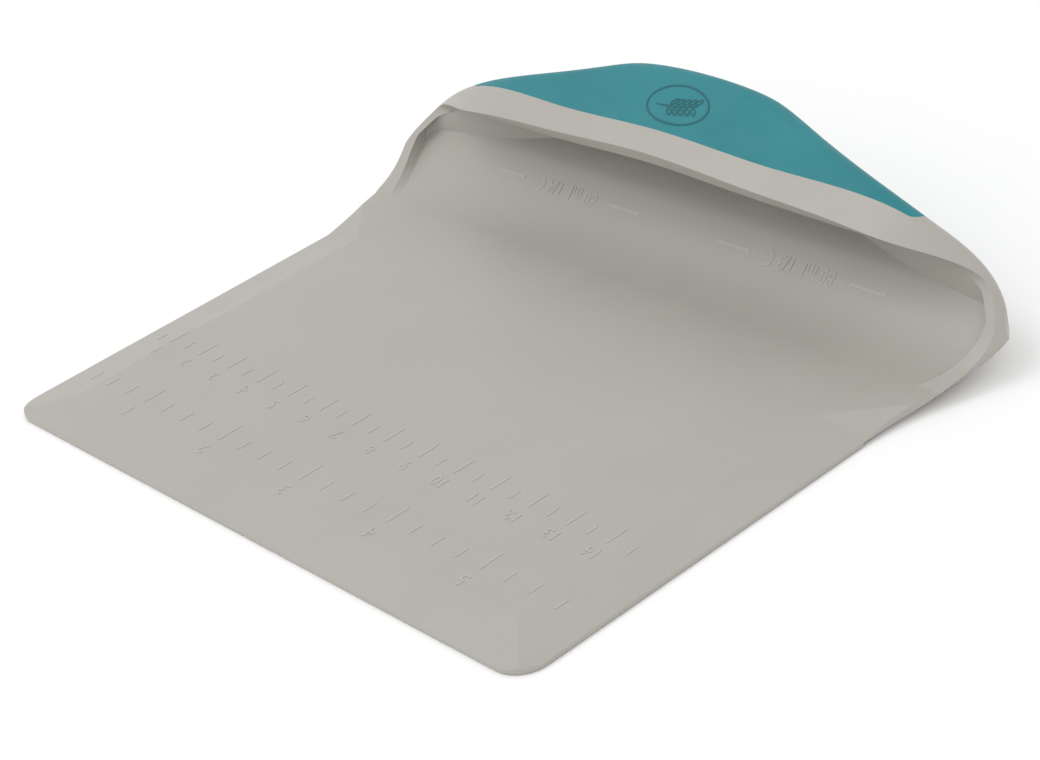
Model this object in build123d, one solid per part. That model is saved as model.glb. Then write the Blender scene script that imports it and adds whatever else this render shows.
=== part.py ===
"""Bench scraper: a moulded grey blade and scooped hood with a soft teal grip on the hood.

Millimetres, +Z up.  +Y runs from the blade's front edge toward the hood, and the part is mirror
symmetric about X = 0.  Everything is drawn with Y = 0 at the front edge, then moved so that the
origin is the middle of the part's footprint, on the underside.
"""
import math
import os

from build123d import *

# ---- blade ---------------------------------------------------------------------------------
BLADE_WIDTH = 154.0          # across the straight sides
BLADE_FLAT = 80.0            # straight length of the blade's sides
SHEET = 2.6                  # wall thickness of blade, floor and hood
EDGE_THICKNESS = 0.8         # thickness left at the front and side edges
FRONT_BEVEL = 9.4            # width of the bevel behind the front edge
SIDE_BEVEL = 10.6            # width of the bevels along the sides
SIDE_BEVEL_END = 80.5        # where the side bevels start to run out
BEVEL_RUNOUT = 16.4          # length of the run-out
RUNOUT_DIRECTION = (0.1, 1.0, 0.165)  # the bevel drifts outward and up as it fades
CORNER_RADIUS = 6.0          # front corners, in plan

# ---- floor and back wall (side profile) ---------------------------------------------------
FLOOR_START = 98.0           # where the floor starts to curve up
FLOOR_RADIUS = 24.0          # upward curve of the floor, measured underneath
FLOOR_ANGLE = 50.0           # slope reached by the floor before the back wall
BACK_DEPTH = 126.6           # front edge to the rearmost point of the hood

# ---- hood ----------------------------------------------------------------------------------
LIP_Y = 107.0                # front of the lip at the middle
LIP_HEIGHT = 25.8            # top of the lip at the middle
TOP_SLOPE = 0.59             # rise of the hood's top per mm toward the back
FLARE_WIDTH = 165.2          # widest part, across the flared cheeks
FLARE_START = 78.0           # where the flare begins
FLARE_Y = 109.0              # where the cheeks are widest
CHEEK_RADIUS = 8.6           # round of the cheeks, seen from the front
SHOULDER_X = 58.0            # half width of the gently arched part of the top
SHOULDER_DROP = 5.3          # fall of the arch from the middle to the shoulder
CHEEK_X = 73.0               # half width at the middle of the cheek slope
CHEEK_DROP = 12.5            # fall of the arch from the middle to the cheek slope
HILL_FLAT = 10.0             # half width of the straight rear face at the middle
HILL_FALL = 8.4              # how far the rear face comes forward at the hill's ends
CORNER_X = 77.8              # half width of the hood's rear corners
HILL_X = 62.0                # half width of the hill's ends
CREST_RADIUS = 3.0           # rounding between the top and the back wall
MOUTH_START_Y = 96.5         # where the cheek line leaves the floor
MOUTH_CORNER_Y = 114.6       # rearmost point of the cheek line
MOUTH_CORNER_Z = 15.4        # its height

# ---- grip ----------------------------------------------------------------------------------
GRIP_THICKNESS = 1.3         # soft layer, let flush into the hood
GRIP_SETBACK = 4.6           # lip front to the grip's front edge
GRIP_CURVE = 3.0             # how far the grip's front edge sweeps back at its ends
GRIP_CORNER = 2.0            # rounding of the grip's front corners
GRIP_HALF_WIDTH = 62.0       # half length of the grip
GRIP_BOTTOM = 17.0           # lower edge of the grip on the back wall

REACH = 200.0                # size of the cutting blocks, larger than the part


def side_profile(wall):
    """Region above the underside of the floor and in front of the rear face, in the YZ plane."""
    radius = FLOOR_RADIUS - wall
    angle = math.radians(FLOOR_ANGLE)
    bend_end = (FLOOR_START + radius * math.sin(angle), wall + radius * (1 - math.cos(angle)))
    back = (BACK_DEPTH - wall, bend_end[1] + 1.35 * (BACK_DEPTH - wall - bend_end[0]))
    with BuildSketch(Plane.YZ) as sketch:
        with BuildLine():
            Line((BLADE_FLAT - 12, wall), (FLOOR_START, wall))
            RadiusArc((FLOOR_START, wall), bend_end, -radius)
            Spline(bend_end, back, tangents=[(math.cos(angle), math.sin(angle)), (0, 1)])
            Polyline(back, (back[0], 60), (BLADE_FLAT - 12, 60), (BLADE_FLAT - 12, wall))
        make_face()
    return extrude(sketch.sketch, amount=REACH / 2, both=True)


def plan_outline(wall):
    """Hood outline seen from above: flared cheeks and a hill shaped rear face."""
    half = BLADE_WIDTH / 2 - wall
    flare = FLARE_WIDTH / 2 + 0.7 - wall
    back = BACK_DEPTH - wall
    ends = back - HILL_FALL
    with BuildSketch(Plane.XY.offset(-5)) as sketch:
        with BuildLine():
            Polyline((0, 60), (half, 60), (half, FLARE_START))
            Spline((half, FLARE_START), (half + 2.4, FLARE_START + 17), (flare, FLARE_Y),
                   (flare - 1.3, FLARE_Y + 4.4), (CORNER_X - wall, ends - 1.1),
                   (HILL_X - wall, ends + 0.2), (HILL_FLAT + 12, back - 1.0), (0, back),
                   tangents=[(0, 1), (-1, 0)])
            Line((0, back), (0, 60))
        make_face()
        mirror(about=Plane.YZ)
    return extrude(sketch.sketch, amount=70)


def elevation(wall):
    """Hood outline seen from the front: flat floor and round cheeks of radius CHEEK_RADIUS."""
    radius = CHEEK_RADIUS - wall
    centre = FLARE_WIDTH / 2 - CHEEK_RADIUS
    turn = math.radians(55)
    top = (centre + radius * math.cos(turn), CHEEK_RADIUS + radius * math.sin(turn))
    with BuildSketch(Plane.XZ.offset(-60)) as sketch:
        with BuildLine():
            Line((0, wall), (centre, wall))
            RadiusArc((centre, wall), (centre + radius, CHEEK_RADIUS), -radius)
            RadiusArc((centre + radius, CHEEK_RADIUS), top, -radius)
            Polyline(top, (top[0], 60), (0, 60), (0, wall))
        make_face()
        mirror(about=Plane.YZ)
    return extrude(sketch.sketch, amount=-80)


def top_arch(wall):
    """Region under the top of the hood; the arch leans upward toward the back."""
    z_mid = LIP_HEIGHT - wall
    flare = FLARE_WIDTH / 2 - wall
    back_up = Vector(0, 1, TOP_SLOPE).normalized()
    plane = Plane(origin=(0, LIP_Y, 0), x_dir=(1, 0, 0), z_dir=(0, -1, 0))
    with BuildSketch(plane) as sketch:
        with BuildLine():
            Spline((0, z_mid), (SHOULDER_X / 2, z_mid - 0.35 * SHOULDER_DROP),
                   (SHOULDER_X - wall / 2, z_mid - SHOULDER_DROP),
                   (CHEEK_X - wall, z_mid - CHEEK_DROP + wall / 2), (flare - 2, z_mid - 17 + wall),
                   (flare + 6, z_mid - 20 + wall), tangents=[(1, 0), (1, -0.3)])
            Polyline((flare + 6, z_mid - 20 + wall), (flare + 6, -60), (0, -60), (0, z_mid))
        make_face()
        mirror(about=Plane.YZ)
    face = sketch.sketch.faces()[0]
    forward = extrude(face, amount=50, dir=(0, -1, 0))
    backward = extrude(face, amount=40, dir=back_up)
    return forward + backward


def hood_block(wall):
    """Solid bounded by the hood's skin, moved inward by wall, with its crest rounded."""
    block = plan_outline(wall) & top_arch(wall)
    crest = block.edges().filter_by(lambda edge: edge.length > 100).sort_by(Axis.Z)[-1]
    return fillet(crest, CREST_RADIUS - wall) & elevation(wall) & side_profile(wall)


def mouth_cutter():
    """Everything in front of the mouth: above the floor and ahead of the S shaped cheek line."""
    with BuildSketch(Plane.YZ) as sketch:
        with BuildLine():
            Line((60, SHEET), (MOUTH_START_Y, SHEET))
            Spline((MOUTH_START_Y, SHEET), (105.1, 5.5), (109.0, 8.6), (112.0, 11.6),
                   (MOUTH_CORNER_Y, MOUTH_CORNER_Z), (112.6, 18.6), (LIP_Y + 2.0, LIP_HEIGHT - 4.6),
                   (LIP_Y, LIP_HEIGHT), tangents=[(1, 0.2), (-0.2, 1)])
            Polyline((LIP_Y, LIP_HEIGHT), (LIP_Y - 1, LIP_HEIGHT + 4), (LIP_Y - 1, 60), (60, 60),
                     (60, SHEET))
        make_face()
    return extrude(sketch.sketch, amount=REACH / 2, both=True)


def grip_region():
    """Column of space that the grip occupies, seen from above."""
    front = LIP_Y + GRIP_SETBACK
    with BuildSketch(Plane.XY.offset(GRIP_BOTTOM)) as sketch:
        with BuildLine():
            ThreePointArc((-GRIP_HALF_WIDTH, front + GRIP_CURVE), (0, front),
                          (GRIP_HALF_WIDTH, front + GRIP_CURVE))
            Polyline((GRIP_HALF_WIDTH, front + GRIP_CURVE), (GRIP_HALF_WIDTH, BACK_DEPTH + 5),
                     (-GRIP_HALF_WIDTH, BACK_DEPTH + 5), (-GRIP_HALF_WIDTH, front + GRIP_CURVE))
        make_face()
        fillet(sketch.vertices().sort_by(Axis.Y)[:2], GRIP_CORNER)
    return extrude(sketch.sketch, amount=40)


def blade():
    """Flat blade with rounded front corners."""
    with BuildSketch() as sketch:
        with Locations((0, BLADE_FLAT / 2)):
            Rectangle(BLADE_WIDTH, BLADE_FLAT)
        fillet(sketch.vertices().sort_by(Axis.Y)[:2], CORNER_RADIUS)
    return extrude(sketch.sketch, amount=SHEET)


def front_bevel_cutter():
    """Wedge above the front bevel."""
    slope = (SHEET - EDGE_THICKNESS) / FRONT_BEVEL
    with BuildSketch(Plane.YZ) as sketch:
        Polygon((FRONT_BEVEL, SHEET), (-20, SHEET - slope * (FRONT_BEVEL + 20)), (-20, 10),
                (FRONT_BEVEL, 10), align=None)
    return extrude(sketch.sketch, amount=REACH / 2, both=True)


def side_bevel_cutter():
    """Wedge above the right-hand side bevel."""
    slope = (SHEET - EDGE_THICKNESS) / SIDE_BEVEL
    start = BLADE_WIDTH / 2 - SIDE_BEVEL
    with BuildSketch(Plane.XZ.offset(5)) as sketch:
        Polygon((start, SHEET), (start + 14, SHEET - slope * 14), (start + 14, 5), (start, 5),
                align=None)
    straight = extrude(sketch.sketch, amount=-SIDE_BEVEL_END - 5)
    end = Pos(0, SIDE_BEVEL_END + 5, 0) * sketch.sketch
    return straight + extrude(end, amount=BEVEL_RUNOUT, dir=RUNOUT_DIRECTION)


def main():
    """Build both nodes and write them as STEP files."""
    outer = hood_block(0.0)
    body = outer - hood_block(SHEET) + blade() - mouth_cutter()
    right = side_bevel_cutter()
    body = body - front_bevel_cutter() - right - mirror(right, about=Plane.YZ)
    grip = (outer - hood_block(GRIP_THICKNESS)) & grip_region()
    body = body - grip
    os.makedirs("parts", exist_ok=True)
    centred = Pos(0, -BACK_DEPTH / 2, 0)
    export_step(centred * body, "parts/scraper_body.step")
    export_step(centred * grip, "parts/soft_grip.step")


main()
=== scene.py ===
"""Bench scraper: materials, raised marks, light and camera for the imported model."""

import math

import bpy
from mathutils import Matrix, Vector


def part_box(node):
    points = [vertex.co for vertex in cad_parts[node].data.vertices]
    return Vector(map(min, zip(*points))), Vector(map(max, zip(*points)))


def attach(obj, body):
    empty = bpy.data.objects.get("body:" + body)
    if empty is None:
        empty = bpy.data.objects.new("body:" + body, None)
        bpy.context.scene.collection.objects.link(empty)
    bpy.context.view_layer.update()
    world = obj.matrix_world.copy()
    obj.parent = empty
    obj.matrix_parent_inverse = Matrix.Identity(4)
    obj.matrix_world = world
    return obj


MM = 0.001

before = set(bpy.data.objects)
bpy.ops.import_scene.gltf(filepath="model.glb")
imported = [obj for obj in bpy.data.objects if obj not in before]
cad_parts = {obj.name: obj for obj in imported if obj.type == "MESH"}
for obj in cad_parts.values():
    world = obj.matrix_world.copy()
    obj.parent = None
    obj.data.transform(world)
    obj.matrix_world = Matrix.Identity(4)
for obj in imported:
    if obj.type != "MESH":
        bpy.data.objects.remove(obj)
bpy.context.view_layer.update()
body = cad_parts["scraper_body"]
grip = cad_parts["soft_grip"]
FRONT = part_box("scraper_body")[0][1]    # the blade's front edge
RELIEF = 0.09 * MM                      # height of the raised marks
SINK = 0.25 * RELIEF                    # how far their undersides reach into the surface
ABOVE_BLADE = 20 * MM                   # rays for marks start here: over the blade,
UNDER_HOOD = 12.5 * MM                  # between the floor and the hood's top,
ABOVE_GRIP = 60 * MM                    # and over the grip


# ---- materials ---------------------------------------------------------------------------
def new_material(name):
    """Empty material with its node tree, its principled shader and its links."""
    material = bpy.data.materials.new(name)
    material.use_nodes = True
    tree = material.node_tree
    return material, tree, tree.nodes["Principled BSDF"]


def add(tree, kind, **values):
    """New node; keyword values go to inputs by name, or to the node's own settings."""
    node = tree.nodes.new(kind)
    for key, value in values.items():
        label = key.replace("_", " ")
        if label in node.inputs:
            node.inputs[label].default_value = value
        else:
            setattr(node, key, value)
    return node


def noise(tree, scale, detail=4.0, rough=0.55):
    """Noise in object space, where one unit is a metre."""
    coords = add(tree, "ShaderNodeTexCoord")
    texture = add(tree, "ShaderNodeTexNoise", Scale=scale, Detail=detail, Roughness=rough)
    tree.links.new(coords.outputs["Object"], texture.inputs["Vector"])
    return texture.outputs["Fac"]


def ramp(tree, source, stops):
    """Colour ramp over source; stops are (position, colour)."""
    node = tree.nodes.new("ShaderNodeValToRGB")
    elements = node.color_ramp.elements
    while len(elements) < len(stops):
        elements.new(0.5)
    for element, (position, colour) in zip(elements, stops):
        element.position = position
        element.color = (*colour, 1.0)
    tree.links.new(source, node.inputs["Fac"])
    return node.outputs["Color"]


def spread(tree, source, low, high):
    """source, from 0.3..0.7, mapped to low..high."""
    node = add(tree, "ShaderNodeMapRange", From_Min=0.3, From_Max=0.7, To_Min=low, To_Max=high)
    tree.links.new(source, node.inputs["Value"])
    return node.outputs["Result"]


def bumps(tree, shader, layers):
    """Chain of bump maps; layers are (height source, distance in metres, strength)."""
    previous = None
    for source, distance, strength in layers:
        bump = add(tree, "ShaderNodeBump", Strength=strength, Distance=distance)
        tree.links.new(source, bump.inputs["Height"])
        if previous:
            tree.links.new(previous, bump.inputs["Normal"])
        previous = bump.outputs["Normal"]
    tree.links.new(previous, shader.inputs["Normal"])


def moulded_plastic(name, dark, mid, light, roughness, specks=True):
    """Satin moulded plastic: cloudy tone, fine grain, faint flow marks and a few pale specks."""
    material, tree, shader = new_material(name)
    colour = ramp(tree, noise(tree, 38.0, 5.0), [(0.32, dark), (0.5, mid), (0.7, light)])
    fine = noise(tree, 5200.0, 2.0)
    if specks:
        coords = add(tree, "ShaderNodeTexCoord")
        cells = add(tree, "ShaderNodeTexVoronoi", Scale=95.0)
        tree.links.new(coords.outputs["Object"], cells.inputs["Vector"])
        near = add(tree, "ShaderNodeMath", operation="LESS_THAN")
        near.inputs[1].default_value = 0.022
        tree.links.new(cells.outputs["Distance"], near.inputs[0])
        pick = add(tree, "ShaderNodeSeparateColor")
        tree.links.new(cells.outputs["Color"], pick.inputs["Color"])
        few = add(tree, "ShaderNodeMath", operation="GREATER_THAN")
        few.inputs[1].default_value = 0.955
        tree.links.new(pick.outputs["Red"], few.inputs[0])
        both = add(tree, "ShaderNodeMath", operation="MULTIPLY")
        tree.links.new(near.outputs[0], both.inputs[0])
        tree.links.new(few.outputs[0], both.inputs[1])
        mix = add(tree, "ShaderNodeMix", data_type="RGBA")
        mix.inputs[7].default_value = (0.8, 0.79, 0.74, 1.0)
        tree.links.new(both.outputs[0], mix.inputs[0])
        tree.links.new(colour, mix.inputs[6])
        colour = mix.outputs[2]
    tree.links.new(colour, shader.inputs["Base Color"])
    tree.links.new(spread(tree, noise(tree, 160.0, 4.0), roughness - 0.04, roughness + 0.05),
                   shader.inputs["Roughness"])
    shader.inputs["Specular IOR Level"].default_value = 0.5
    shader.inputs["Sheen Weight"].default_value = 0.04
    bumps(tree, shader, [(fine, 0.00002, 0.25), (noise(tree, 60.0, 3.0), 0.0002, 0.06)])
    return material


def soft_rubber(name, dark, mid, light):
    """Soft matte overmould: even tone with fine grain and slight wear."""
    material, tree, shader = new_material(name)
    colour = ramp(tree, noise(tree, 55.0, 4.0), [(0.3, dark), (0.5, mid), (0.72, light)])
    tree.links.new(colour, shader.inputs["Base Color"])
    tree.links.new(spread(tree, noise(tree, 240.0, 4.0), 0.52, 0.62), shader.inputs["Roughness"])
    shader.inputs["Specular IOR Level"].default_value = 0.38
    shader.inputs["Sheen Weight"].default_value = 0.05
    shader.inputs["Sheen Roughness"].default_value = 0.5
    bumps(tree, shader, [(noise(tree, 4200.0, 3.0), 0.00004, 0.35)])
    return material


GREY = moulded_plastic("grey moulding", (0.392, 0.374, 0.338), (0.4, 0.382, 0.345),
                       (0.408, 0.39, 0.352), 0.4)
RAISED = moulded_plastic("grey raised marks", (0.43, 0.415, 0.38), (0.44, 0.425, 0.39),
                         (0.45, 0.435, 0.4), 0.36, specks=False)
TEAL = soft_rubber("teal grip", (0.012, 0.192, 0.222), (0.014, 0.205, 0.236),
                   (0.016, 0.218, 0.25))
TEAL_LINE = soft_rubber("teal emblem", (0.006, 0.1, 0.125), (0.007, 0.11, 0.135),
                        (0.008, 0.12, 0.145))

for node, material in ((body, GREY), (grip, TEAL)):
    node.data.materials.clear()
    node.data.materials.append(material)
    for face in node.data.polygons:
        face.material_index = 0

for node, width in ((body, 0.5 * MM), (grip, 0.25 * MM)):
    rounding = node.modifiers.new("rounded edges", "BEVEL")
    rounding.width = width
    rounding.segments = 3
    rounding.limit_method = "ANGLE"
    rounding.angle_limit = math.radians(38)
    rounding.use_clamp_overlap = True


# ---- raised marks -------------------------------------------------------------------------
def surface(node, x, y, start):
    """First point of node met going down from (x, y, start), and the surface normal there."""
    hit, point, normal, _ = node.ray_cast(Vector((x, y, start)), Vector((0.0, 0.0, -1.0)))
    return (point, normal) if hit else (None, None)


def drape(obj, node, start, name, material):
    """Lays a flat mesh, its z meaning height above the surface, on node as seen from above."""
    for vertex in obj.data.vertices:
        point, normal = surface(node, vertex.co.x, vertex.co.y, start)
        if point is None:
            raise SystemExit(f"{name} runs off {node.name}")
        height = vertex.co.z if vertex.co.z > 0 else -SINK
        vertex.co = point + normal * height
    obj.name = name
    obj.data.materials.clear()
    obj.data.materials.append(material)
    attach(obj, "root")
    return obj


def bars(rows, height=RELIEF):
    """Mesh of rectangular bars; rows are (x, y, length along x, length along y)."""
    vertices, faces = [], []
    for x, y, wide, deep in rows:
        steps = max(1, round(max(wide, deep) / (1.5 * MM)))
        along_x = wide >= deep
        first = len(vertices)
        for k in range(steps + 1):
            t = k / steps - 0.5
            for side in (-0.5, 0.5):
                px = x + (t * wide if along_x else side * wide)
                py = y + (side * deep if along_x else t * deep)
                vertices += [(px, py, 0.0), (px, py, height)]
        for k in range(steps):
            a = first + 4 * k
            faces += [(a + 1, a + 3, a + 7, a + 5), (a, a + 1, a + 5, a + 4),
                      (a + 2, a + 6, a + 7, a + 3)]
        end = first + 4 * steps
        faces += [(first, first + 2, first + 3, first + 1), (end, end + 1, end + 3, end + 2)]
    mesh = bpy.data.meshes.new("bars")
    mesh.from_pydata(vertices, [], faces)
    obj = bpy.data.objects.new("bars", mesh)
    bpy.context.collection.objects.link(obj)
    return obj


def words(entries, height=RELIEF):
    """One mesh of extruded lettering; entries are (text, x, y, size, turned)."""
    made = []
    for text, x, y, size, turned in entries:
        curve = bpy.data.curves.new("word", "FONT")
        curve.body = text
        curve.size = size
        curve.align_x = "CENTER"
        curve.align_y = "CENTER"
        curve.extrude = height / 2
        curve.resolution_u = 4
        obj = bpy.data.objects.new("word", curve)
        bpy.context.collection.objects.link(obj)
        bpy.context.view_layer.update()
        mesh = bpy.data.meshes.new_from_object(obj)
        turn = Matrix.Rotation(math.pi if turned else 0.0, 4, "Z")
        mesh.transform(Matrix.Translation((x, y, height / 2)) @ turn)
        bpy.data.objects.remove(obj)
        piece = bpy.data.objects.new("word", mesh)
        bpy.context.collection.objects.link(piece)
        made.append(piece)
    with bpy.context.temp_override(active_object=made[0], selected_editable_objects=made):
        bpy.ops.object.join()
    for vertex in made[0].data.vertices:
        vertex.co.z = height if vertex.co.z > height / 2 else 0.0
    return made[0]


HALF = 77.0 * MM
INCH = 25.4 * MM
INCH_LINE = FRONT + 11.6 * MM
CM_LINE = FRONT + 29.0 * MM

ticks = []
for quarter in range(1, 24):
    long = quarter % 4 == 0
    ticks.append((-HALF + quarter * INCH / 4, INCH_LINE + (6.2 if long else 5.0) * MM, 0.45 * MM,
                  (5.2 if long else 3.0) * MM))
for half in range(1, 30):
    long = half % 2 == 0
    ticks.append((-HALF + half * 5 * MM, CM_LINE + (5.6 if long else 4.6) * MM, 0.45 * MM,
                  (4.6 if long else 2.6) * MM))
drape(bars(ticks), body, ABOVE_BLADE, "ruler_ticks", RAISED)
digits = [(str(n), -HALF + n * INCH, INCH_LINE, 4.2 * MM, True) for n in range(1, 6)]
digits += [(str(n), -HALF + n * 10 * MM, CM_LINE, 3.8 * MM, True) for n in range(1, 15)]
drape(words(digits), body, ABOVE_BLADE, "ruler_digits", RAISED)

CUP_LINE = FRONT + 111.5 * MM
CUP_MIDDLE = 33.0 * MM                  # centre of each cup mark, left and right
STROKE_OFFSET = 17.5 * MM               # from there to the line at either end
strokes = []
for middle in (-CUP_MIDDLE, CUP_MIDDLE):
    strokes += [(middle - STROKE_OFFSET, CUP_LINE, 9 * MM, 0.5 * MM),
                (middle + STROKE_OFFSET, CUP_LINE, 9 * MM, 0.5 * MM)]
drape(bars(strokes), body, UNDER_HOOD, "cup_lines", RAISED)
cups = [("60 ml  1/4 C", -CUP_MIDDLE, CUP_LINE, 3.6 * MM, True),
        ("80 ml  1/3 C", CUP_MIDDLE, CUP_LINE, 3.6 * MM, True)]
drape(words(cups), body, UNDER_HOOD, "cup_words", RAISED)


# ---- emblem: an ear of wheat in an oval ------------------------------------------------------
def ribbon(points, width, closed=False, height=RELIEF):
    """Flat-topped raised line through points, as (x, y) in metres."""
    count = len(points)
    vertices, faces = [], []
    for k, (x, y) in enumerate(points):
        ahead = points[(k + 1) % count] if closed else points[min(k + 1, count - 1)]
        behind = points[k - 1] if closed else points[max(k - 1, 0)]
        along = Vector((ahead[0] - behind[0], ahead[1] - behind[1])).normalized()
        taper = 1.0 if closed else 0.35 + 0.65 * math.sin(math.pi * k / (count - 1))
        side = Vector((-along.y, along.x)) * width * taper / 2
        for sign in (-1, 1):
            px, py = x + sign * side.x, y + sign * side.y
            vertices += [(px, py, 0.0), (px, py, height)]
    for k in range(count if closed else count - 1):
        a, b = 4 * k, 4 * ((k + 1) % count)
        faces += [(a + 1, a + 3, b + 3, b + 1), (a, a + 1, b + 1, b), (a + 2, b + 2, b + 3, a + 3)]
    mesh = bpy.data.meshes.new("ribbon")
    mesh.from_pydata(vertices, [], faces)
    obj = bpy.data.objects.new("ribbon", mesh)
    bpy.context.collection.objects.link(obj)
    return obj


def ellipse(cx, cy, rx, ry, turn=0.0, steps=64):
    """Points of an ellipse."""
    points = []
    for k in range(steps):
        a = 2 * math.pi * k / steps
        x, y = rx * math.cos(a), ry * math.sin(a)
        points.append((cx + x * math.cos(turn) - y * math.sin(turn),
                       cy + x * math.sin(turn) + y * math.cos(turn)))
    return points


EMBLEM_Y = FRONT + 117.0 * MM
lines = [ribbon(ellipse(0, EMBLEM_Y, 8.0 * MM, 3.7 * MM), 0.35 * MM, True)]
stem = [(-5.4 * MM + 10.4 * MM * k / 20, EMBLEM_Y - 0.7 * MM + 1.4 * MM * (k / 20) ** 2)
        for k in range(21)]
lines.append(ribbon(stem, 0.4 * MM))
for k in range(5):
    x = (-1.6 + 1.45 * k) * MM
    y = EMBLEM_Y - 0.7 * MM + 1.4 * MM * ((x / MM + 5.4) / 10.4) ** 2
    for sign in (-1, 1):
        lines.append(ribbon(ellipse(x + 0.5 * MM, y + sign * 1.0 * MM, 0.85 * MM, 0.38 * MM,
                                    sign * 0.6, 24), 0.28 * MM, True))
for k, line in enumerate(lines):
    drape(line, grip, ABOVE_GRIP, f"emblem_{k}", TEAL_LINE)


# ---- floor, light, camera --------------------------------------------------------------------
bpy.ops.mesh.primitive_plane_add(size=6.0, location=(0, 0, -0.0002))
floor = bpy.context.object
floor.name = "floor"
material, tree, shader = new_material("pale floor")
tree.links.new(ramp(tree, noise(tree, 3.0), [(0.3, (0.95, 0.95, 0.95)), (0.7, (0.97, 0.97, 0.97))]),
               shader.inputs["Base Color"])
shader.inputs["Roughness"].default_value = 0.9
floor.data.materials.append(material)

world = bpy.data.worlds.new("studio")
bpy.context.scene.world = world
world.use_nodes = True
world.node_tree.nodes["Background"].inputs["Color"].default_value = (1.0, 1.0, 1.0, 1.0)
world.node_tree.nodes["Background"].inputs["Strength"].default_value = 0.9


def area_light(name, place, target, size, power, tone=(1.0, 1.0, 1.0)):
    """Square soft light aimed at target."""
    data = bpy.data.lights.new(name, "AREA")
    data.size = size
    data.energy = power
    data.color = tone
    light = bpy.data.objects.new(name, data)
    light.location = place
    light.rotation_euler = (Vector(target) - Vector(place)).to_track_quat("-Z", "Y").to_euler()
    bpy.context.collection.objects.link(light)
    return light


area_light("key", (-0.35, -0.25, 0.9), (0, 0, 0), 0.5, 2.0)
area_light("front", (0.7, -0.9, 0.5), (0, 0, 0.01), 0.6, 0.8)

camera = bpy.data.objects.new("camera", bpy.data.cameras.new("camera"))
bpy.context.collection.objects.link(camera)
camera.data.lens = 94.65
camera.data.sensor_width = 36.0
camera.data.clip_start = 0.01
azimuth, elevation, roll = (math.radians(angle) for angle in (55.0242, 29.4523, -12.6889))
level = Matrix.Rotation(azimuth, 4, "Z") @ Matrix.Rotation(math.pi / 2 - elevation, 4, "X")
turn = level @ Matrix.Rotation(roll, 4, "Z")
camera.matrix_world = Matrix.Translation((0.37046, -0.25582, 0.25154)) @ turn
bpy.context.scene.camera = camera
bpy.context.scene.view_settings.view_transform = "Standard"
